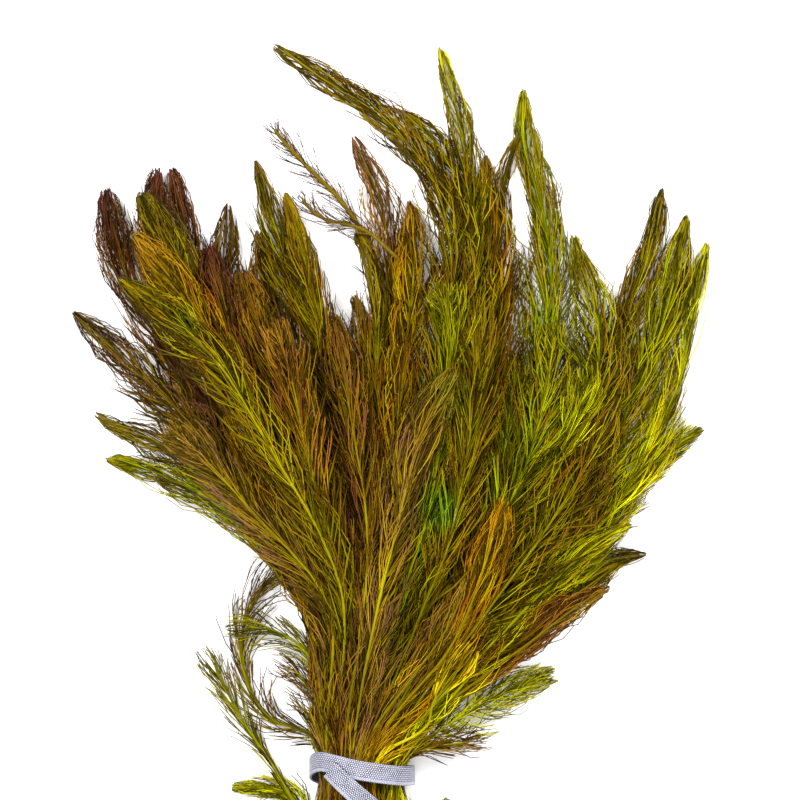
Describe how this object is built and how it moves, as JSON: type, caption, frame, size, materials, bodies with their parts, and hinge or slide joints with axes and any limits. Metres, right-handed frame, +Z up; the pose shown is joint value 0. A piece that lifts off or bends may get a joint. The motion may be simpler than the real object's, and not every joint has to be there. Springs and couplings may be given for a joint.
{
  "type": "bunch of hornwort",
  "caption": "Tied bunch of hornwort lying on its side: leafy pond plant stems held near their cut ends by a wound strip of soft metal.",
  "frame": {"origin": "on the table, under the middle of the strip where it crosses below the bunch", "axes": "+Z up from the table, +Y along the bunch from the cut ends to the leafy tips, +X to the right seen from above with the tips away from the viewer"},
  "size_m": [0.256, 0.336, 0.0498],
  "materials": {
    "tie": "dull soft metal with embossed dimples",
    "lower_tuft_1": "wet leaves, yellow-green",
    "lower_tuft_2": "wet leaves, yellow-green",
    "lower_tuft_3": "wet leaves, olive",
    "outer_shoot": "wet leaves, green",
    "curled_sprig": "wet leaves, brown",
    "left_sprig_02": "wet leaves, olive",
    "left_sprig_04": "wet leaves, dark red",
    "left_sprig_06": "wet leaves, brown",
    "left_sprig_10": "wet leaves, olive",
    "middle_sprig_07": "wet leaves, brown",
    "middle_sprig_05": "wet leaves, green",
    "right_sprig_02": "wet leaves, olive",
    "right_sprig_05": "wet leaves, green",
    "left_sprig_03": "wet leaves, yellow-green",
    "left_sprig_05": "wet leaves, dark red",
    "left_sprig_13": "wet leaves, brown",
    "left_sprig_11": "wet leaves, olive",
    "middle_sprig_10": "wet leaves, brown",
    "middle_sprig_02": "wet leaves, olive",
    "middle_sprig_06": "wet leaves, olive",
    "right_sprig_01": "wet leaves, green",
    "right_sprig_04": "wet leaves, green",
    "right_sprig_06": "wet leaves, brown",
    "low_sprig_1": "wet leaves, olive",
    "left_sprig_01": "wet leaves, brown",
    "left_sprig_07": "wet leaves, olive",
    "left_sprig_12": "wet leaves, olive",
    "middle_sprig_08": "wet leaves, dark red",
    "middle_sprig_03": "wet leaves, yellow-green",
    "middle_sprig_04": "wet leaves, orange-brown",
    "right_sprig_03": "wet leaves, green",
    "right_sprig_07": "wet leaves, brown",
    "right_sprig_09": "wet leaves, yellow-green",
    "low_sprig_2": "wet leaves, brown",
    "left_sprig_08": "wet leaves, orange-brown",
    "left_sprig_14": "wet leaves, dark red",
    "left_sprig_15": "wet leaves, brown",
    "middle_sprig_09": "wet leaves, olive",
    "middle_sprig_01": "wet leaves, olive",
    "middle_sprig_11": "wet leaves, yellow-green",
    "right_sprig_10": "wet leaves, green",
    "right_sprig_08": "wet leaves, orange-brown",
    "right_sprig_14": "wet leaves, orange-brown",
    "left_sprig_16": "wet leaves, orange-brown",
    "left_sprig_09": "wet leaves, green",
    "left_sprig_17": "wet leaves, dark red",
    "middle_sprig_12": "wet leaves, brown",
    "middle_sprig_13": "wet leaves, green",
    "middle_sprig_14": "wet leaves, yellow-green",
    "right_sprig_11": "wet leaves, yellow-green",
    "right_sprig_12": "wet leaves, green",
    "right_sprig_13": "wet leaves, green",
    "front_sprig_1": "wet leaves, brown",
    "front_sprig_2": "wet leaves, tan",
    "front_sprig_4": "wet leaves, tan",
    "front_sprig_3": "wet leaves, orange-brown",
    "front_sprig_5": "wet leaves, yellow-green",
    "side_shoot": "wet leaves, olive"
  },
  "bodies": {
    "root": {"tie": "tie", "lower_tuft_1": "lower_tuft_1", "lower_tuft_2": "lower_tuft_2", "lower_tuft_3": "lower_tuft_3", "outer_shoot": "outer_shoot", "curled_sprig": "curled_sprig", "left_sprig_02": "left_sprig_02", "left_sprig_04": "left_sprig_04", "left_sprig_06": "left_sprig_06", "left_sprig_10": "left_sprig_10", "middle_sprig_07": "middle_sprig_07", "middle_sprig_05": "middle_sprig_05", "right_sprig_02": "right_sprig_02", "right_sprig_05": "right_sprig_05", "left_sprig_03": "left_sprig_03", "left_sprig_05": "left_sprig_05", "left_sprig_13": "left_sprig_13", "left_sprig_11": "left_sprig_11", "middle_sprig_10": "middle_sprig_10", "middle_sprig_02": "middle_sprig_02", "middle_sprig_06": "middle_sprig_06", "right_sprig_01": "right_sprig_01", "right_sprig_04": "right_sprig_04", "right_sprig_06": "right_sprig_06", "low_sprig_1": "low_sprig_1", "left_sprig_01": "left_sprig_01", "left_sprig_07": "left_sprig_07", "left_sprig_12": "left_sprig_12", "middle_sprig_08": "middle_sprig_08", "middle_sprig_03": "middle_sprig_03", "middle_sprig_04": "middle_sprig_04", "right_sprig_03": "right_sprig_03", "right_sprig_07": "right_sprig_07", "right_sprig_09": "right_sprig_09", "low_sprig_2": "low_sprig_2", "left_sprig_08": "left_sprig_08", "left_sprig_14": "left_sprig_14", "left_sprig_15": "left_sprig_15", "middle_sprig_09": "middle_sprig_09", "middle_sprig_01": "middle_sprig_01", "middle_sprig_11": "middle_sprig_11", "right_sprig_10": "right_sprig_10", "right_sprig_08": "right_sprig_08", "right_sprig_14": "right_sprig_14", "left_sprig_16": "left_sprig_16", "left_sprig_09": "left_sprig_09", "left_sprig_17": "left_sprig_17", "middle_sprig_12": "middle_sprig_12", "middle_sprig_13": "middle_sprig_13", "middle_sprig_14": "middle_sprig_14", "right_sprig_11": "right_sprig_11", "right_sprig_12": "right_sprig_12", "right_sprig_13": "right_sprig_13", "front_sprig_1": "front_sprig_1", "front_sprig_2": "front_sprig_2", "front_sprig_4": "front_sprig_4", "front_sprig_3": "front_sprig_3", "front_sprig_5": "front_sprig_5", "side_shoot": "side_shoot"}
  },
  "joints": []
}
